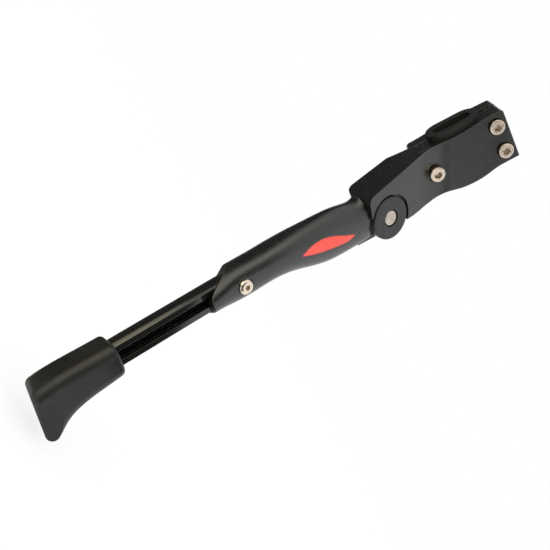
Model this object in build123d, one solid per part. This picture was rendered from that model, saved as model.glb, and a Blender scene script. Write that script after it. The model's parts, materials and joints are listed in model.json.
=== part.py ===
from build123d import *
import math
import os

# Bicycle kickstand for a rear frame stay. Millimetres.
# Origin at the centre of the clamped stay: X forward along the stay, Y outward, Z up.

# Clamp
WIDTH = 35.0
FACE_Y = 13.0
PAD_Y = 0.0
TOP_Z = 31.0
SCREW_Z = 23.5
END_SCREW_X = 9.0
STAY_LENGTH = 26.6
STAY_DEPTH = 10.0
STAY_CORNER = 4.6
LINER = 4.7
LINER_HALF = 20.8
LINER_SPLIT = 0.15
JAW_WIDTH = 35.0
JAW_EDGE = 8.0
JAW_FLANGE = 10.0
JAW_GAP = 0.6
JAW_STEP = 2.7
JAW_CROWN = 14.2
JAW_DROP = 0.8
JAW_SHOULDER = 12.0
JAW_ROUND = 2.5
END_SINK = 3.0
TOP_CORNER = 2.0
REAR_WAIST = ((0, TOP_Z), (0.1, 22), (0.6, 14.5), (2.3, 6), (2.9, -3), (2.2, -11.6), (0.3, -19.5),
              (-0.8, -27), (-0.8, -36))
FRONT_WAIST = ((0.2, -36), (0.1, -20), (1.7, -4), (0.9, 10), (0, 19), (0, TOP_Z))

# Screws
M6 = 6.0
M6_HEAD = 10.0
M6_HEX = 5.0
M6_HEX_DEPTH = 3.2
M6_ROUND = 0.6
M6_TIP = 0.7
M5 = 5.0
M5_HEAD = 9.5
M5_HEAD_RISE = 2.8
M5_HEX = 3.0
M5_HEX_DEPTH = 1.8
M5_ROUND = 2.2
M5_TIP = 0.4
SCREW_PLAY = 0.3
HEAD_PLAY = 0.6
RUNNING = 0.05
PRESS = 0.02

# Pivot housing, bent outward below the clamp
CREASE_Z = -26.0
PLATE_LOW = -38.0
TILT = 29.0
YAW = 10.0
SPLAY = 11.0
PIVOT_U = -5.1
PIVOT_V = -42.9
HOUSING = 25.0
HOUSING_LIP = 0.25
FRONT_CHEEK = 7.5
REAR_CHEEK = 7.5
WEB = 4.6
CHANNEL_TOP = -13.0
HOOD_END = -15.0
HOOD_NOSE = 5.0
HOOD_BACK = 9.0
BLOCK_TOP = 4.0
SIDE_TAPER = 3.3
HOUSING_REAR = ((0.75, BLOCK_TOP), (0.75, -19), (1.2, -25))
LUG_REAR = ((4.0, -31.5), (0.4, PIVOT_V))
CREASE_R = 45.0
LUG_R = 14.4

# Pivot
DISC_R = 14.6
DISC_T = 3.2
DISC_ROUND = 1.1
DISC_GAP = 1.6
POCKET = 3.0
PIN_R = 4.0
PIN_HEAD_R = 5.1
PIN_HEAD = 1.4
PIN_SINK = 0.1
PIN_ROUND = 0.6
TAIL_HEAD_R = 5.7
TAIL_HEAD = 1.6
TAIL_ROUND = 1.0
PIN_WASHER = 1.0
PIN_WASHER_R = 8.0
COUNTERBORE_GAP = 1.0
BUSH_R = 7.0
CAM_FLAT = 6.4
FOLD = 100.0
WASHER_R = 12.0
WASHER_T = 0.7
WASHER_PLAY = 0.1
EYE_R = 13.0

# Detent in the sleeve
PLUNGER_R = 2.5
PLUNGER_GAP = 0.3
PLUNGER_DOME = 2.0
PLUNGER_END = -21.0
SPRING_END = -49.0
SPRING_PLAY = 0.2
SPRING_WIRE = 0.35
SPRING_PITCH = 3.5

# Leg
LEG_X = 12.0
LEG_R = 8.2
LEG_FLAT = 5.2
LEG_TOP = -72.0
LEG_END = -238.0
SLOT = 6.0
SLOT_LIP = 2.2
CAVITY = 9.4
CAVITY_DEPTH = 3.0
NUT_LENGTH = 12.0
NUT_PLAY = 0.2
NUT_GAP = 0.1
SHOULDER = -15.5
BORE_TOP = -55.0
BORE_GAP = 0.1
HEIGHT_Z = -115.0
HEIGHT_SEAT = 10.3
INLAY_BED = 8.7
INLAY_REAR = ((9.6, -73), (5.4, -62), (1.6, -46), (0.3, -35), (2.3, -28.6))
INLAY_FORE = ((2.3, -28.6), (7.0, -39.5), (11.8, -52), (12.6, -60), (9.6, -73))
NECK = ((-11.0, SHOULDER - 8), (-12.4, -4.0), (12.6, -4.0), (15.0, SHOULDER - 8))

# Sleeve stations down the leg: height, centre, half length, half width
SLEEVE = (
    (SHOULDER, 4.4, 15.9, 10.2),
    (-32, 4.9, 16.2, 10.4),
    (-46, 6.2, 16.6, 10.6),
    (-58, 7.8, 15.6, 10.9),
    (-70, 10.0, 13.9, 11.2),
    (-82, 11.7, 12.3, 11.4),
    (-96, 12.3, 11.5, 11.4),
    (-118, 12.4, 11.4, 11.4),
    (-143, 12.4, 11.4, 11.4),
)
MOUTH_TURN = 34.0
MOUTH = ((-14, -17), (-10, -21.5), (-5, -23.3), (2, -16.5), (8, -5.8), (11, -1.8), (14, 0))

# Foot: side profile as (x, z) from the leg's end, where the sole plane lies at SOLE_Z
COLLAR_Z = 40.5
COLLAR_ROUND = 3.0
FOOT_HALF = 11.4
FOOT_CORNER = 6.5
INSTEP = ((-10.2, COLLAR_Z), (-11.6, 27), (-13.2, 14), (-16.7, 4), (-20.9, -1.5), (-24.3, -6.5), (-25, -15))
HEEL = ((8.6, -15), (9.5, -7), (10.4, 1), (10.7, 10), (10.5, 20), (10.2, 30), (10, COLLAR_Z))
SOLE_Z = -8.4
SOLE_UP = (-0.075, 0.18, 0.98)
SOLE_ROUND = 4.0
TOE_RISE = 11.3
TOE_SLANT = 2.4
TOE_END = 3.5
TOE_END_ROUND = 3.0
LIP = 1.1

t = math.radians(TILT)
q = math.radians(YAW)
k = math.radians(SPLAY)
reach = WIDTH + HOUSING
pocket_r = DISC_R + DISC_GAP
clevis_front = HOUSING / 2 - FRONT_CHEEK
clevis_back = REAR_CHEEK - HOUSING / 2
washer_seat = WASHER_T + WASHER_PLAY
side = Vector(math.cos(q), math.sin(q) * math.cos(t), math.sin(q) * math.sin(t))
rise = Vector(0, -math.sin(t), math.cos(t))
housing = Plane(origin=(0, FACE_Y, CREASE_Z), x_dir=side, z_dir=rise)
pivot_mid = housing.from_local_coords((PIVOT_U, -HOUSING / 2, PIVOT_V))
leg = Plane(
    origin=pivot_mid,
    x_dir=side * math.cos(k) + rise * math.sin(k),
    z_dir=rise * math.cos(k) - side * math.sin(k),
)


def bar_y(radius, y0, y1, x=0, z=0):
    """Round bar along local Y."""
    return Pos(x, (y0 + y1) / 2, z) * Rot(90, 0, 0) * Cylinder(radius, abs(y1 - y0))


def hex_y(across, y0, y1, x=0, z=0):
    """Hexagon prism along local Y."""
    blank = extrude(RegularPolygon(across / 2, 6, major_radius=False), abs(y1 - y0) / 2, both=True)
    return Pos(x, (y0 + y1) / 2, z) * Rot(90, 0, 0) * blank


def box(x0, x1, y0, y1, z0, z1):
    """Block between two corners."""
    return Pos((x0 + x1) / 2, (y0 + y1) / 2, (z0 + z1) / 2) * Box(x1 - x0, y1 - y0, z1 - z0)


def plate_y(edges, y0, y1):
    """Plate from edges drawn at y = 0 in the local XZ plane."""
    face = Pos(0, y0, 0) * make_face(edges)
    return extrude(face, y1 - y0, dir=(0, 1, 0))


def oval(grow, half):
    """Solid of the clamped stay's section, grown outward, along X."""
    sketch = RectangleRounded(STAY_DEPTH + 2 * grow, STAY_LENGTH + 2 * grow, STAY_CORNER + grow)
    return extrude(Plane.YZ * sketch, half, both=True)


def clamp_outline(y0, y1, low):
    """Waisted outline of the clamp plate between two depths, down to a given height."""
    h = WIDTH / 2
    rear = Spline([(-h - out, 0, z) for out, z in REAR_WAIST])
    front = Spline([(h - inset, 0, z) for inset, z in FRONT_WAIST])
    base = Polyline(rear @ 1, ((rear @ 1).X, 0, low), ((front @ 0).X, 0, low), front @ 0)
    top = Line(front @ 1, rear @ 0)
    plate = plate_y([rear, front, top] + base.edges(), y0, y1)
    corner = plate.edges().filter_by(Axis.Y).sort_by_distance((h, y0, TOP_Z))[0]
    return fillet(corner, TOP_CORNER)


def housing_block():
    """Solid lower half of the bracket in housing coordinates."""
    h = WIDTH / 2 + HOUSING_LIP
    su, sv = math.sin(k), math.cos(k)
    web_u = h - PIVOT_U
    end_v = PIVOT_V + (HOOD_END + web_u * su) / sv
    low_v = PIVOT_V + HOOD_END / sv
    lug = PIVOT_U - LUG_R
    rear = [(inset - h, v) for inset, v in HOUSING_REAR] + [(inset + lug, v) for inset, v in LUG_REAR]
    faces = []
    for w, taper in ((-HOUSING, SIDE_TAPER), (0, 0)):
        points = rear + [(PIVOT_U, low_v), (h, end_v), (h - taper, BLOCK_TOP)]
        faces.append(make_face(Polyline([(u, w, v) for u, v in points], close=True).edges()))
    block = loft(faces, ruled=True)
    corner = block.edges().sort_by_distance((h, -HOUSING / 2, end_v))[0]
    block = fillet(corner, HOOD_NOSE)
    back_w = -HOUSING + HOOD_BACK
    back_v = end_v + HOOD_BACK
    heel = box(-reach, reach, -reach, back_w, -2 * reach, back_v)
    block -= heel - Pos(0, back_w, back_v) * Rot(0, 90, 0) * Cylinder(HOOD_BACK, 2 * reach)
    return block + bar_y(LUG_R, -HOUSING, 0, PIVOT_U, PIVOT_V)


def crease_fill():
    """Concave round that blends the clamp face into the housing face."""
    along = Vector(0, 1, 0).cross(housing.y_dir)
    bend = math.radians(Vector(0, 1, 0).get_angle(housing.y_dir))
    section = Plane(origin=housing.origin, x_dir=(0, 1, 0), z_dir=along)
    tangent = CREASE_R * math.tan(bend / 2)
    upper = (0, tangent)
    lower = (tangent * math.sin(bend), -tangent * math.cos(bend))
    wedge = make_face(Polyline((0, 0), upper, (CREASE_R, tangent), lower, (0, 0)).edges())
    wedge -= Pos(CREASE_R, tangent) * Circle(CREASE_R)
    return extrude(section * wedge, WIDTH, both=True) & clamp_outline(0, reach, -2 * reach)


def bracket():
    """One casting: clamp plate, bent pivot housing, web and hood."""
    lower = housing * housing_block()
    lower -= box(-reach, reach, -2 * reach, PAD_Y, -2 * reach, reach)
    body = clamp_outline(PAD_Y, FACE_Y, PLATE_LOW) + lower
    body += crease_fill()
    web_in = WIDTH / 2 + HOUSING_LIP - WEB
    body -= housing * box(-reach, web_in, -HOUSING + REAR_CHEEK, -FRONT_CHEEK, -2 * reach, CHANNEL_TOP)
    body -= oval(LINER, reach)
    body -= housing * bar_y(pocket_r, -POCKET, reach, PIVOT_U, PIVOT_V)
    body -= housing * bar_y(PIN_R + PRESS, -reach, reach, PIVOT_U, PIVOT_V)
    for x in (-END_SCREW_X, END_SCREW_X):
        body -= bar_y(M6 / 2 + SCREW_PLAY, -reach, reach, x, SCREW_Z)
        body -= bar_y(M6_HEAD / 2 + HEAD_PLAY, FACE_Y - END_SINK, reach, x, SCREW_Z)
    body -= bar_y(M6 / 2 + SCREW_PLAY, -reach, reach, 0, -SCREW_Z)
    body -= bar_y(M6_HEAD / 2 + 2 * HEAD_PLAY, FACE_Y, reach, 0, -SCREW_Z)
    return body


def clamp_jaw():
    """Arched jaw; its upper flange is set back from the pad."""
    z = SCREW_Z + JAW_EDGE
    low = -JAW_GAP
    high = -JAW_GAP - JAW_STEP
    low_back = low - JAW_FLANGE
    high_back = high - JAW_FLANGE
    inner_z = z - JAW_SHOULDER
    arch = ((low_back + JAW_DROP, -z), (low_back, -inner_z), (-JAW_CROWN, 0), (high_back, inner_z),
            (high_back + JAW_DROP, z))
    outer = Spline([(0, y, zz) for y, zz in arch])
    rest = Polyline(outer @ 1, (0, high, z), (0, high, 0), (0, low, 0), (0, low, -z), outer @ 0)
    jaw = extrude(make_face([outer] + rest.edges()), JAW_WIDTH / 2, both=True, dir=(1, 0, 0))
    jaw = fillet(jaw.edges().filter_by(Axis.Y), JAW_ROUND)
    jaw -= oval(LINER, reach)
    for x, zz in ((-END_SCREW_X, SCREW_Z), (END_SCREW_X, SCREW_Z), (0, -SCREW_Z)):
        jaw -= bar_y(M6 / 2 + RUNNING, -reach, reach, x, zz)
    return jaw


def stay_liner():
    """Oval rubber lining, still in one ring."""
    return oval(LINER, LINER_HALF) - oval(0, reach)


def cap_screw(x, z, seat, end):
    """M6 socket head cap screw along Y."""
    head = bar_y(M6_HEAD / 2, seat, seat + M6, x, z)
    head = fillet(head.edges().sort_by(Axis.Y)[-1], M6_ROUND)
    head -= hex_y(M6_HEX, seat + M6 - M6_HEX_DEPTH, reach, x, z)
    shank = bar_y(M6 / 2, end, seat, x, z)
    shank = chamfer(shank.edges().sort_by(Axis.Y)[0], M6_TIP)
    return head + shank


def pivot_disc():
    """Round cover plate in the pocket, counterbored for the pin head."""
    disc = bar_y(DISC_R, -POCKET, DISC_T - POCKET, PIVOT_U, PIVOT_V)
    disc = fillet(disc.edges().sort_by(Axis.Y)[-1], DISC_ROUND)
    disc -= bar_y(PIN_R + PRESS, -reach, reach, PIVOT_U, PIVOT_V)
    return disc - bar_y(PIN_HEAD_R + COUNTERBORE_GAP, -PIN_HEAD, reach, PIVOT_U, PIVOT_V)


def pivot_pin():
    """Riveted pivot pin with a low head at each end."""
    back = -HOUSING - PIN_WASHER
    shank = bar_y(PIN_R, back, -PIN_HEAD, PIVOT_U, PIVOT_V)
    head = bar_y(PIN_HEAD_R, -PIN_HEAD, -PIN_SINK, PIVOT_U, PIVOT_V)
    head = fillet(head.edges().sort_by(Axis.Y)[-1], PIN_ROUND)
    tail = bar_y(TAIL_HEAD_R, back - TAIL_HEAD, back, PIVOT_U, PIVOT_V)
    tail = fillet(tail.edges().sort_by(Axis.Y)[0], TAIL_ROUND)
    return shank + head + tail


def ring_y(outer, inner, y0, y1, x=0, z=0):
    """Washer along local Y."""
    return bar_y(outer, y0, y1, x, z) - bar_y(inner, -reach, reach, x, z)


def cam_bush():
    """Bush on the pin; two flats hold the leg down or folded. Leg coordinates."""
    bush = ring_y(BUSH_R, PIN_R + PRESS, clevis_back, clevis_front)
    flat = box(-reach, reach, -reach, reach, -reach, -CAM_FLAT)
    for turn in (0, FOLD):
        bush -= Rot(0, turn, 0) * flat
    return bush


def leg_section(gap):
    """Round leg section with a flat front, grown by a gap."""
    front = Pos(0, LEG_FLAT + gap + LEG_R) * Rectangle(4 * LEG_R, 2 * LEG_R)
    return Circle(LEG_R + gap) - front


def sleeve_skin():
    """Outer form of the swan-neck sleeve."""
    rings = [Pos(x, 0, z) * Ellipse(a, b) for z, x, a, b in SLEEVE]
    return loft(rings)


def inlay_blank():
    """Leaf outline through the front wall of the sleeve."""
    rear = Spline([(x, 0, z) for x, z in INLAY_REAR])
    fore = Spline([(x, 0, z) for x, z in INLAY_FORE])
    return plate_y([rear, fore], INLAY_BED, reach)


def leg_sleeve():
    """Cast sleeve: knuckle tongue, plunger bore and leg bore."""
    back = clevis_back + washer_seat
    front = clevis_front - washer_seat
    neck = Polyline([(x, 0, z) for x, z in NECK], close=True)
    body = sleeve_skin() + plate_y(neck.edges(), back, front) + bar_y(EYE_R, back, front)
    body -= bar_y(BUSH_R + RUNNING, -reach, reach)
    body -= Pos(0, 0, SPRING_END / 2) * Cylinder(PLUNGER_R + RUNNING, -SPRING_END)
    body -= extrude(Pos(LEG_X, 0, BORE_TOP) * leg_section(BORE_GAP), -2 * reach)
    mouth = Spline([(x, 0, z) for x, z in MOUTH])
    under = Polyline(mouth @ 1, (reach, 0, MOUTH[-1][1]), (reach, 0, -reach), (-reach, 0, -reach),
                     (-reach, 0, MOUTH[0][1]), mouth @ 0)
    opening = plate_y([mouth] + under.edges(), -reach, reach)
    body -= Pos(LEG_X, 0, HEIGHT_Z) * Rot(0, 0, -MOUTH_TURN) * opening
    body -= bar_y(M5 / 2 + SCREW_PLAY, 0, reach, LEG_X, HEIGHT_Z)
    body -= bar_y(M5_HEAD / 2 + HEAD_PLAY, HEIGHT_SEAT, reach, LEG_X, HEIGHT_Z)
    return body - inlay_blank()


def inner_leg():
    """Round extrusion with a flat front and a T-slot."""
    section = leg_section(0) - Pos(0, LEG_FLAT) * Rectangle(SLOT, 2 * SLOT_LIP + RUNNING)
    section -= Pos(0, LEG_FLAT - SLOT_LIP - CAVITY_DEPTH / 2) * Rectangle(CAVITY, CAVITY_DEPTH)
    return extrude(Pos(LEG_X, 0, LEG_END) * section, LEG_TOP - LEG_END)


def height_screw():
    """Button head screw that pulls the slot nut against the leg's lips."""
    rise_y = HEIGHT_SEAT + M5_HEAD_RISE
    head = bar_y(M5_HEAD / 2, HEIGHT_SEAT, rise_y, LEG_X, HEIGHT_Z)
    head = fillet(head.edges().sort_by(Axis.Y)[-1], M5_ROUND)
    head -= hex_y(M5_HEX, rise_y - M5_HEX_DEPTH, reach, LEG_X, HEIGHT_Z)
    return head + bar_y(M5 / 2, M5_TIP, HEIGHT_SEAT, LEG_X, HEIGHT_Z)


def slot_nut():
    """Flat nut in the T-slot."""
    w = CAVITY / 2 - NUT_PLAY
    h = NUT_LENGTH / 2
    top = LEG_FLAT - SLOT_LIP - NUT_GAP
    low = LEG_FLAT - SLOT_LIP - CAVITY_DEPTH + NUT_PLAY
    nut = box(LEG_X - w, LEG_X + w, low, top, HEIGHT_Z - h, HEIGHT_Z + h)
    return nut - bar_y(M5 / 2 + PRESS, -reach, reach, LEG_X, HEIGHT_Z)


def toe_cutter(ground):
    """Cuts the slanted toe front and the lip above the sole; ends short of the heel."""
    front = (FOOT_HALF - ground.z_dir.Y * TOE_RISE) / ground.z_dir.Z
    lip = front - TOE_SLANT
    low = LIP - reach
    points = ((front, TOE_RISE), (lip, LIP), (lip - reach, low), (reach, low), (reach, TOE_RISE))
    outline = Polyline([(0, v, w) for v, w in points], close=True)
    cutter = Pos(TOE_END, 0, 0) * extrude(make_face(outline.edges()), -reach, dir=(1, 0, 0))
    end = cutter.faces().sort_by(Axis.X)[-1]
    seam = end.edges().sort_by_distance((TOE_END, lip, LIP))[:2]
    return ground * fillet(seam, TOE_END_ROUND)


def foot():
    """Rubber boot with a toe and a sole that lies flat on the ground."""
    instep = Spline([(LEG_X + x, 0, LEG_END + z) for x, z in INSTEP])
    heel = Spline([(LEG_X + x, 0, LEG_END + z) for x, z in HEEL])
    ends = [Line(instep @ 1, heel @ 0), Line(heel @ 1, instep @ 0)]
    boot = plate_y([instep, heel] + ends, -FOOT_HALF, FOOT_HALF)
    boot = fillet(boot.edges().sort_by(SortBy.LENGTH)[-4:], FOOT_CORNER)
    up = Vector(*SOLE_UP).normalized()
    ground = Plane(origin=(LEG_X, 0, LEG_END + SOLE_Z), x_dir=Vector(0, 1, 0).cross(up), z_dir=up)
    boot = split(boot, bisect_by=ground, keep=Keep.TOP)
    boot = fillet(boot.faces().sort_by(Axis.Z)[-1].edges(), COLLAR_ROUND)
    boot = fillet(boot.faces().sort_by(Axis.Z)[0].edges(), SOLE_ROUND)
    boot -= toe_cutter(ground)
    return boot - extrude(Pos(LEG_X, 0, LEG_END - PRESS) * leg_section(PRESS), reach)


def detent_spring():
    """Compression spring behind the plunger."""
    length = PLUNGER_END - SPRING_END - 2 * SPRING_WIRE
    path = Helix(SPRING_PITCH, length, PLUNGER_R - SPRING_WIRE - SPRING_PLAY)
    coil = sweep(Plane(origin=path @ 0, z_dir=path % 0) * Circle(SPRING_WIRE), path)
    return Pos(0, 0, SPRING_END + SPRING_WIRE) * coil


def detent_plunger():
    """Round plunger with a domed tip."""
    top = -BUSH_R - PLUNGER_GAP
    rod = Pos(0, 0, (top + PLUNGER_END) / 2) * Cylinder(PLUNGER_R, top - PLUNGER_END)
    return fillet(rod.edges().sort_by(Axis.Z)[-1], PLUNGER_DOME)


os.makedirs("parts", exist_ok=True)


def save(shape, name):
    """Write one named piece."""
    export_step(shape, "parts/" + name + ".step")


ring = stay_liner()
split_y = PAD_Y - JAW_GAP / 2
outer_half = box(-reach, reach, split_y + LINER_SPLIT, reach, -reach, reach)
inner_half = box(-reach, reach, -reach, split_y - LINER_SPLIT, -reach, reach)
skin = sleeve_skin()
end_places = (-END_SCREW_X, END_SCREW_X)
end_screws = [cap_screw(x, SCREW_Z, FACE_Y - END_SINK, -JAW_STEP - JAW_FLANGE) for x in end_places]

save(bracket(), "bracket")
save(clamp_jaw(), "clamp_jaw")
save(ring & outer_half, "stay_liner_front")
save(ring & inner_half, "stay_liner_back")
save(Compound(end_screws), "end_screws")
save(cap_screw(0, -SCREW_Z, FACE_Y, -JAW_FLANGE), "middle_screw")
save(housing * pivot_disc(), "pivot_disc")
save(housing * pivot_pin(), "pivot_pin")
pin_washer = ring_y(PIN_WASHER_R, PIN_R + PRESS, -HOUSING - PIN_WASHER, -HOUSING, PIVOT_U, PIVOT_V)
save(housing * pin_washer, "pin_washer")
washer_hole = BUSH_R + WASHER_PLAY
save(leg * ring_y(WASHER_R, washer_hole, clevis_front - WASHER_T, clevis_front), "thrust_washer_front")
save(leg * ring_y(WASHER_R, washer_hole, clevis_back, clevis_back + WASHER_T), "thrust_washer_back")
save(leg * cam_bush(), "cam_bush")
save(leg * leg_sleeve(), "leg_sleeve")
save(leg * (skin & inlay_blank()), "leg_inlay")
save(leg * detent_plunger(), "detent_plunger")
save(leg * detent_spring(), "detent_spring")
save(leg * inner_leg(), "inner_leg")
save(leg * height_screw(), "height_screw")
save(leg * slot_nut(), "slot_nut")
save(leg * foot(), "foot")
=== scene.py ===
import json
import math

import bpy
from mathutils import Matrix, Vector


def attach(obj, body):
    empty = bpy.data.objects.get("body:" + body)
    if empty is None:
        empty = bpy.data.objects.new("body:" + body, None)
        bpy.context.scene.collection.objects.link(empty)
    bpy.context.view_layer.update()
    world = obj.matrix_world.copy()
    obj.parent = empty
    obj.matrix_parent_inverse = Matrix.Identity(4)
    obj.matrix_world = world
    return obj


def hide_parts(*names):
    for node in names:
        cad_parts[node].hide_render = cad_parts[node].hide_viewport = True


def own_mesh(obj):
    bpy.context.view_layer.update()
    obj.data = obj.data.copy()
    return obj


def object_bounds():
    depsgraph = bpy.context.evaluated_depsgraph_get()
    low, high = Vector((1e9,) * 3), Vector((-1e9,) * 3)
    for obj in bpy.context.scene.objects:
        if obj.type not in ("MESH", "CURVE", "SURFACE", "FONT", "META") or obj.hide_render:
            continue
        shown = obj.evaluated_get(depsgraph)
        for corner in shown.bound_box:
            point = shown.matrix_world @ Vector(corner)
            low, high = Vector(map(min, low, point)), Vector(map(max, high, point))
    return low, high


# Looks of the bicycle kickstand. Metres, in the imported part's own frame.
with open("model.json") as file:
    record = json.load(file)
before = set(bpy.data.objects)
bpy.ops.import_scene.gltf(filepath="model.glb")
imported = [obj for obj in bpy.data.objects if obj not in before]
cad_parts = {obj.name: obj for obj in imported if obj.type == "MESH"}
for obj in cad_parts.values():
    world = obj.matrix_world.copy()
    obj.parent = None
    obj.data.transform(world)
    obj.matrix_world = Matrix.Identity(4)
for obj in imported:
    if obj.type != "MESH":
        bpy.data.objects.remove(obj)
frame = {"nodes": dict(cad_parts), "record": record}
cad_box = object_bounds()
parts = frame["nodes"]
joints = {joint["name"]: joint for joint in frame["record"]["behaviour"]["joints"]}

# Camera of the photograph
LENS_MM = 50.0
SENSOR_MM = 36.0
CLIP_START = 0.01
CAMERA_AT = Vector((0.2273, 0.4769, -0.0898))
CAMERA_RIGHT = Vector((-0.4535, 0.1196, 0.8832))
CAMERA_BACK = Vector((0.45776, 0.88152, 0.11568))

# Shading: contrast of the noise, edges rounded by shading only, and mirror strength
NOISE_START = 0.3
NOISE_END = 0.7
EDGE_SAMPLES = 6
EDGE_SHARP = 0.86
EDGE_FLAT = 0.995
PAINT_SPECULAR = 0.75
RUBBER_SPECULAR = 0.42
DRAW_STRETCH = (1, 1, 0.012)
FLAT_ON_PIVOT = (1, 0, 1)
RINGS_PER_METRE = 3200.0

# Stage
WHITE = (1.0, 1.0, 1.0, 1.0)
FLOOR_COLOUR = (0.97, 0.97, 0.97, 1.0)
FLOOR_WHITE = 0.80
FLOOR_GAP = 0.002
FLOOR_HALF = 6.0
CARD_COLOUR = (0.06, 0.06, 0.058, 1.0)
CARD_ROUGHNESS = 0.9
CARD_STEPS = 12
FLOOR_CARD = ((-0.06, -0.8), (0.8, -0.8), (0.8, 0.25), (0.04, 0.25), (0.04, -0.03), (-0.06, -0.03))
PLATE_CARD = ((-1.3, 1.2, 0.24), (0, 1.5, 0.24), (0, 1.5, 0.48), (-1.3, 1.2, 0.48))
LEG_OFFSET = 0.012
LEG_MIDDLE = 0.168
FOOT_MIDDLE = 0.240

# Pivot and leg directions, read from the joints
pivot = Vector(joints["leg_fold"]["pos_m"])
pivot_axis = Vector(joints["leg_fold"]["axis"]).normalized()
leg_down = Vector(joints["leg_extension"]["axis"]).normalized()
leg_side = pivot_axis.cross(-leg_down).normalized()

# Directions in the picture: down the leg, and square to the leg on its upper side
back = CAMERA_BACK.normalized()
up = back.cross(CAMERA_RIGHT).normalized()
right = up.cross(back)
image_leg = (leg_down - leg_down.dot(back) * back).normalized()
over = (up - up.dot(image_leg) * image_leg).normalized()

# Points that lamps and cards are set round
middle = (Vector(cad_box[0]) + Vector(cad_box[1])) / 2
leg_at = pivot + leg_side * LEG_OFFSET + leg_down * LEG_MIDDLE
foot_at = pivot + leg_side * LEG_OFFSET + leg_down * FOOT_MIDDLE


# Node helpers
def empty_tree(owner):
    """Node tree of a material or world, cleared."""
    owner.use_nodes = True
    owner.node_tree.nodes.clear()
    return owner.node_tree


def new_material(name):
    """Empty material with one principled shader."""
    mat = bpy.data.materials.new(name)
    tree = empty_tree(mat)
    out = tree.nodes.new("ShaderNodeOutputMaterial")
    shader = tree.nodes.new("ShaderNodeBsdfPrincipled")
    tree.links.new(shader.outputs["BSDF"], out.inputs["Surface"])
    return mat, tree, shader


def connect(tree, value, socket):
    """Link an output socket, or set a constant."""
    if isinstance(value, bpy.types.NodeSocket):
        tree.links.new(value, socket)
    else:
        socket.default_value = value


def add(tree, kind, settings=None, **values):
    """Add a node; values are constants or output sockets, keyed by input name."""
    node = tree.nodes.new(kind)
    for key, value in (settings or {}).items():
        setattr(node, key, value)
    for key, value in values.items():
        connect(tree, value, node.inputs[key])
    return node


def calculate(tree, operation, first, second):
    """Sum, product or other operation on two values."""
    node = add(tree, "ShaderNodeMath", {"operation": operation})
    connect(tree, first, node.inputs[0])
    connect(tree, second, node.inputs[1])
    return node.outputs[0]


def object_point(tree):
    """Position in the part's frame, riding with the piece."""
    return add(tree, "ShaderNodeTexCoord").outputs["Object"]


def leg_point(tree, stretch):
    """Position in the leg's own frame at the pivot, stretched along its axes."""
    turn = Matrix((leg_side, pivot_axis, -leg_down))
    turned = add(tree, "ShaderNodeMapping", Vector=object_point(tree),
                 Location=-(turn @ pivot), Rotation=turn.to_euler())
    return add(tree, "ShaderNodeMapping", Vector=turned.outputs["Vector"], Scale=stretch).outputs["Vector"]


def noise(tree, point, scale, detail=3.0):
    """Noise value between 0 and 1."""
    return add(tree, "ShaderNodeTexNoise", Vector=point, Scale=scale, Detail=detail).outputs["Fac"]


def remap(tree, value, low, high, start=NOISE_START, end=NOISE_END):
    """Stretch a value from start..end to low..high, clamped."""
    node = add(tree, "ShaderNodeMapRange", Value=value)
    node.inputs["From Min"].default_value = start
    node.inputs["From Max"].default_value = end
    node.inputs["To Min"].default_value = low
    node.inputs["To Max"].default_value = high
    return node.outputs["Result"]


def blend_colour(tree, factor, first, second):
    """Mix two colours."""
    node = add(tree, "ShaderNodeMix", {"data_type": "RGBA"})
    connect(tree, factor, node.inputs["Factor"])
    rgba = [socket for socket in node.inputs if socket.type == "RGBA"]
    for socket, colour in zip(rgba, (first, second)):
        connect(tree, colour if isinstance(colour, bpy.types.NodeSocket) else (*colour, 1.0), socket)
    return [socket for socket in node.outputs if socket.type == "RGBA"][0]


def mottle(tree, value, dark, light):
    """Colour that wanders between two tones with a noise."""
    return blend_colour(tree, remap(tree, value, 0.0, 1.0), dark, light)


def uneven_gloss(tree, value, rough, less=0.04, more=0.05):
    """Roughness that wanders about a mean with a noise."""
    return remap(tree, value, rough - less, rough + more)


def bump(tree, height, normal, strength, depth):
    """Bump from a height value; depth in metres."""
    node = add(tree, "ShaderNodeBump", Height=height, Normal=normal, Strength=strength, Distance=depth)
    return node.outputs["Normal"]


def round_edge(tree, radius):
    """Normal that rounds sharp edges."""
    return add(tree, "ShaderNodeBevel", {"samples": EDGE_SAMPLES}, Radius=radius).outputs["Normal"]


def edge_mask(tree, rounded):
    """1 on sharp edges, 0 on open faces."""
    dot = add(tree, "ShaderNodeVectorMath", {"operation": "DOT_PRODUCT"})
    connect(tree, rounded, dot.inputs[0])
    connect(tree, add(tree, "ShaderNodeNewGeometry").outputs["Normal"], dot.inputs[1])
    return remap(tree, dot.outputs["Value"], 1.0, 0.0, EDGE_SHARP, EDGE_FLAT)


def edge_highlight_mask(tree, rounded, share):
    """Edge mask scaled down to a share; used for a painted highlight along sharp edges."""
    return remap(tree, edge_mask(tree, rounded), 0.0, share, 0.0, 1.0)


def finish_shader(tree, shader, colour, gloss, normal):
    """Connect colour, roughness and relief."""
    connect(tree, colour, shader.inputs["Base Color"])
    connect(tree, gloss, shader.inputs["Roughness"])
    connect(tree, normal, shader.inputs["Normal"])


# Materials
def powder_coat(name, dark, light, rough, edge_highlight):
    """Satin powder coat: fine orange peel, uneven gloss, sharp edges painted lighter as a painted highlight.
    """
    mat, tree, shader = new_material(name)
    point = object_point(tree)
    rounded = round_edge(tree, radius=0.0008)
    tone = mottle(tree, noise(tree, point, scale=70.0), dark, light)
    # Sharp edges blend to a lighter colour: a painted highlight.
    colour = blend_colour(tree, edge_highlight_mask(tree, rounded, share=0.7), tone, edge_highlight)
    gloss = uneven_gloss(tree, noise(tree, point, scale=180.0), rough)
    peel = noise(tree, point, scale=1800.0, detail=2.0)
    finish_shader(tree, shader, colour, gloss, bump(tree, peel, rounded, strength=0.05, depth=0.0001))
    shader.inputs["Specular IOR Level"].default_value = PAINT_SPECULAR
    return mat


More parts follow.
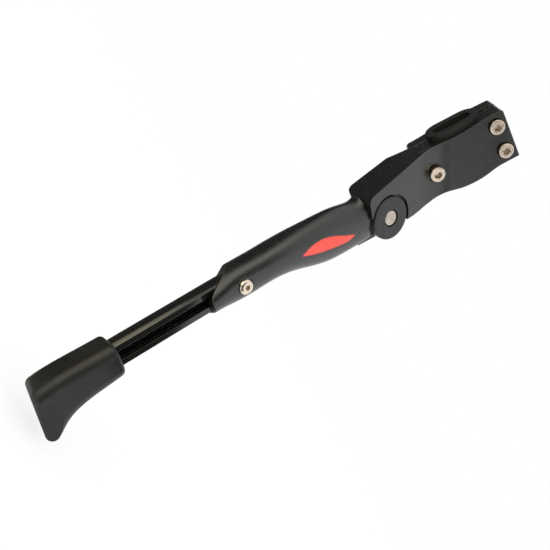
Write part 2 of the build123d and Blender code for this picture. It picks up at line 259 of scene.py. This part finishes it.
def moulded_rubber(name, dark, light, rough):
    """Matte moulded rubber with a fine grain and dusty patches."""
    mat, tree, shader = new_material(name)
    point = object_point(tree)
    rounded = round_edge(tree, radius=0.0006)
    colour = mottle(tree, noise(tree, point, scale=55.0, detail=4.0), dark, light)
    gloss = uneven_gloss(tree, noise(tree, point, scale=240.0), rough, less=0.05, more=0.07)
    grain = noise(tree, point, scale=2600.0)
    finish_shader(tree, shader, colour, gloss, bump(tree, grain, rounded, strength=0.18, depth=0.00015))
    shader.inputs["Specular IOR Level"].default_value = RUBBER_SPECULAR
    return mat


def plated_steel(name, dark, light, rough):
    """Plated metal with faint stains and fine scratches."""
    mat, tree, shader = new_material(name)
    point = object_point(tree)
    rounded = round_edge(tree, radius=0.0003)
    colour = mottle(tree, noise(tree, point, scale=420.0, detail=4.0), dark, light)
    gloss = uneven_gloss(tree, noise(tree, point, scale=900.0), rough, less=0.06, more=0.08)
    scratch = noise(tree, point, scale=3000.0, detail=2.0)
    finish_shader(tree, shader, colour, gloss, bump(tree, scratch, rounded, strength=0.06, depth=0.00005))
    shader.inputs["Metallic"].default_value = 1.0
    return mat


def turned_face(name, dark, light, rough, metal, rim):
    """Lathe-turned face: fine rings round the pivot, and sharp edges painted in a rim tone: a painted
    highlight on the disc, painted shade round the pin.
    """
    mat, tree, shader = new_material(name)
    rounded = round_edge(tree, radius=0.0009)
    radius = add(tree, "ShaderNodeVectorMath", {"operation": "LENGTH"})
    connect(tree, leg_point(tree, FLAT_ON_PIVOT), radius.inputs[0])
    spread = calculate(tree, "MULTIPLY", radius.outputs["Value"], RINGS_PER_METRE)
    rings = add(tree, "ShaderNodeTexNoise", {"noise_dimensions": "1D"}, W=spread, Scale=1.0, Detail=2.0)
    rings = rings.outputs["Fac"]
    tone = mottle(tree, noise(tree, object_point(tree), scale=150.0), dark, light)
    # Sharp edges blend to the rim tone: painted highlight on the disc, painted shade round the pin.
    colour = blend_colour(tree, edge_mask(tree, rounded), tone, rim)
    gloss = uneven_gloss(tree, rings, rough)
    finish_shader(tree, shader, colour, gloss, bump(tree, rings, rounded, strength=0.08, depth=0.00006))
    shader.inputs["Metallic"].default_value = metal
    return mat


def drawn_tube(name, dark, light, rough, edge_highlight):
    """Gloss anodised extrusion with draw lines along the leg, sharp edges painted lighter as a painted
    highlight.
    """
    mat, tree, shader = new_material(name)
    rounded = round_edge(tree, radius=0.0003)
    lines = noise(tree, leg_point(tree, DRAW_STRETCH), scale=2400.0)
    tone = mottle(tree, lines, dark, light)
    # Sharp edges blend to a lighter colour: a painted highlight.
    colour = blend_colour(tree, edge_highlight_mask(tree, rounded, share=0.5), tone, edge_highlight)
    gloss = uneven_gloss(tree, lines, rough)
    finish_shader(tree, shader, colour, gloss, bump(tree, lines, rounded, strength=0.05, depth=0.00005))
    shader.inputs["Specular IOR Level"].default_value = PAINT_SPECULAR
    return mat


def satin_inlay(name, dark, light, rough, rim):
    """Satin inlay with a faint mottle and a dark rim."""
    mat, tree, shader = new_material(name)
    point = object_point(tree)
    rounded = round_edge(tree, radius=0.0011)
    tone = mottle(tree, noise(tree, point, scale=90.0), dark, light)
    colour = blend_colour(tree, edge_mask(tree, rounded), tone, rim)
    gloss = uneven_gloss(tree, noise(tree, point, scale=300.0), rough)
    grain = noise(tree, point, scale=2200.0, detail=2.0)
    finish_shader(tree, shader, colour, gloss, bump(tree, grain, rounded, strength=0.06, depth=0.00006))
    return mat


def dress(mat, *names):
    """Give one material to several pieces."""
    for name in names:
        piece = parts[name]
        piece.data.materials.clear()
        piece.data.materials.append(mat)


# The lighter edge colour below is a painted highlight on the casting's sharp edges.
dress(powder_coat("casting", dark=(0.005, 0.005, 0.005), light=(0.009, 0.009, 0.009), rough=0.27,
                  edge_highlight=(0.09, 0.09, 0.088)),
      "bracket", "clamp_jaw", "leg_sleeve")
# The disc's lighter rim is a painted highlight on its edges.
dress(turned_face("disc", dark=(0.010, 0.010, 0.0105), light=(0.016, 0.016, 0.0165), rough=0.42,
                  metal=0.0, rim=(0.06, 0.06, 0.058)),
      "pivot_disc")
# The pin's dark rim is painted shade, standing for the shaded gap round the pin.
dress(turned_face("pin", dark=(0.40, 0.35, 0.30), light=(0.60, 0.54, 0.47), rough=0.34,
                  metal=1.0, rim=(0.03, 0.027, 0.024)),
      "pivot_pin", "pin_washer")
dress(plated_steel("nickel", dark=(0.62, 0.52, 0.42), light=(0.86, 0.75, 0.62), rough=0.24),
      "end_screws", "middle_screw", "height_screw")
dress(plated_steel("inner_steel", dark=(0.30, 0.30, 0.30), light=(0.46, 0.45, 0.44), rough=0.38),
      "thrust_washer_front", "thrust_washer_back", "cam_bush", "detent_plunger", "detent_spring", "slot_nut")
dress(moulded_rubber("liner", dark=(0.007, 0.007, 0.0065), light=(0.012, 0.012, 0.011), rough=0.55),
      "stay_liner_front", "stay_liner_back")
dress(moulded_rubber("foot_rubber", dark=(0.008, 0.008, 0.0072), light=(0.013, 0.013, 0.012), rough=0.42),
      "foot")
# The lighter edge colour below is a painted highlight on the leg's sharp edges.
dress(drawn_tube("anodised", dark=(0.004, 0.004, 0.0037), light=(0.007, 0.007, 0.0065), rough=0.15,
                 edge_highlight=(0.10, 0.10, 0.095)),
      "inner_leg")
dress(satin_inlay("red_inlay", dark=(0.82, 0.066, 0.048), light=(0.94, 0.094, 0.070), rough=0.42,
                  rim=(0.02, 0.004, 0.004)),
      "leg_inlay")


# Spring
def spring_coil():
    """Copy of the detent spring, hung on the leg body, standing in for the hidden solid one."""
    solid = parts["detent_spring"]
    coil = bpy.data.objects.new("spring_coil", solid.data.copy())
    bpy.context.collection.objects.link(coil)
    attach(coil, "leg")
    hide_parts("detent_spring")
    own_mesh(coil)


# Stage
def white_surround(tree):
    """1 for rays that should see plain white: camera, mirror and glass rays."""
    path = add(tree, "ShaderNodeLightPath").outputs
    seen = calculate(tree, "MAXIMUM", path["Is Camera Ray"], path["Is Glossy Ray"])
    return calculate(tree, "MAXIMUM", seen, path["Is Transmission Ray"])


def studio_world():
    """Even white surround."""
    world = bpy.data.worlds.new("studio")
    tree = empty_tree(world)
    out = tree.nodes.new("ShaderNodeOutputWorld")
    sky = add(tree, "ShaderNodeBackground", Color=WHITE, Strength=1.0)
    tree.links.new(sky.outputs["Background"], out.inputs["Surface"])
    bpy.context.scene.world = world


def floor_material():
    """Pale floor that keeps a soft shadow on white."""
    mat = bpy.data.materials.new("floor")
    tree = empty_tree(mat)
    out = tree.nodes.new("ShaderNodeOutputMaterial")
    matte = add(tree, "ShaderNodeBsdfDiffuse", Color=FLOOR_COLOUR)
    white = add(tree, "ShaderNodeEmission", Color=WHITE, Strength=1.0)
    mix = add(tree, "ShaderNodeMixShader")
    connect(tree, calculate(tree, "MULTIPLY", white_surround(tree), FLOOR_WHITE), mix.inputs[0])
    tree.links.new(matte.outputs[0], mix.inputs[1])
    tree.links.new(white.outputs[0], mix.inputs[2])
    tree.links.new(mix.outputs[0], out.inputs["Surface"])
    return mat


def floor():
    """Level floor just under the foot."""
    level = cad_box[0][2] - FLOOR_GAP
    bpy.ops.mesh.primitive_plane_add(size=2 * FLOOR_HALF, location=(0, 0, level))
    plane = bpy.context.object
    plane.name = "studio_floor"
    plane.data.materials.append(floor_material())


def camera():
    """Camera at the photograph's place and tilt."""
    data = bpy.data.cameras.new("camera")
    data.lens = LENS_MM
    data.sensor_width = SENSOR_MM
    data.clip_start = CLIP_START
    eye = bpy.data.objects.new("camera", data)
    bpy.context.collection.objects.link(eye)
    turn = Matrix((right, up, back)).transposed().to_4x4()
    eye.matrix_world = Matrix.Translation(CAMERA_AT) @ turn
    bpy.context.scene.camera = eye


def ring_point(centre, angle, radius, along):
    """Point round a line along the leg: angle in degrees from the viewer towards the leg's upper side."""
    turn = math.radians(angle)
    return centre + (over * math.sin(turn) + back * math.cos(turn)) * radius + image_leg * along


def softbox(name, centre, angle, distance, rise, width, length, radiance, colour):
    """Oblong area light beside the leg, with its length along the leg."""
    data = bpy.data.lights.new(name, "AREA")
    data.shape = "RECTANGLE"
    data.size = width
    data.size_y = length
    data.energy = radiance * math.pi * width * length
    data.color = colour
    lamp = bpy.data.objects.new(name, data)
    bpy.context.collection.objects.link(lamp)
    place = ring_point(centre, angle, distance, -rise)
    away = (ring_point(centre, angle, distance, 0) - centre).normalized()
    across = image_leg.cross(away)
    turn = Matrix((across, image_leg, away)).transposed().to_4x4()
    lamp.matrix_world = Matrix.Translation(place) @ turn


def card_material():
    """Dull dark card."""
    mat, _, shader = new_material("card")
    shader.inputs["Base Color"].default_value = CARD_COLOUR
    shader.inputs["Roughness"].default_value = CARD_ROUGHNESS
    return mat


def reflector(name, points, faces):
    """Dark card that shows in reflections only."""
    mesh = bpy.data.meshes.new(name)
    mesh.from_pydata(points, [], faces)
    mesh.materials.append(card_paint)
    sheet = bpy.data.objects.new(name, mesh)
    bpy.context.collection.objects.link(sheet)
    sheet.visible_camera = False
    sheet.visible_diffuse = False
    sheet.visible_shadow = False


def bent_card(name, centre, start, end, radius, top, foot):
    """Card bent round the leg between two angles."""
    angles = [start + (end - start) * i / CARD_STEPS for i in range(CARD_STEPS + 1)]
    points = [ring_point(centre, angle, radius, along) for angle in angles for along in (top, foot)]
    faces = [(2 * i, 2 * i + 1, 2 * i + 3, 2 * i + 2) for i in range(CARD_STEPS)]
    reflector(name, points, faces)


def floor_card(name, corners):
    """Card lying on the floor; corners are distances over and in front of the foot."""
    level = cad_box[0][2] - FLOOR_GAP / 2
    points = [foot_at + over * side + back * front for side, front in corners]
    reflector(name, [(p.x, p.y, level) for p in points], [range(len(points))])


spring_coil()
camera()
studio_world()
floor()
card_paint = card_material()
bent_card("card_over", middle, start=62, end=150, radius=0.34, top=-0.34, foot=0.2)
bent_card("card_front", middle, start=-34, end=8, radius=0.30, top=-0.35, foot=0.2)
bent_card("card_leg", leg_at, start=-85, end=-45, radius=0.05, top=-0.052, foot=0.02)
floor_card("card_floor", FLOOR_CARD)
reflector("card_plate", PLATE_CARD, [range(len(PLATE_CARD))])
softbox("side", middle, angle=-85, distance=0.9, rise=0.5, width=1.5, length=1.5, radiance=0.2,
        colour=(1, 1, 1))
softbox("strip", middle, angle=34, distance=0.7, rise=0.45, width=0.38, length=1.3, radiance=1.05,
        colour=(1, 0.94, 0.58))
softbox("leg_strip", leg_at, angle=54, distance=0.14, rise=0.045, width=0.1, length=0.12, radiance=1.2,
        colour=(1, 0.91, 0.52))

bpy.context.scene.view_settings.view_transform = "Standard"
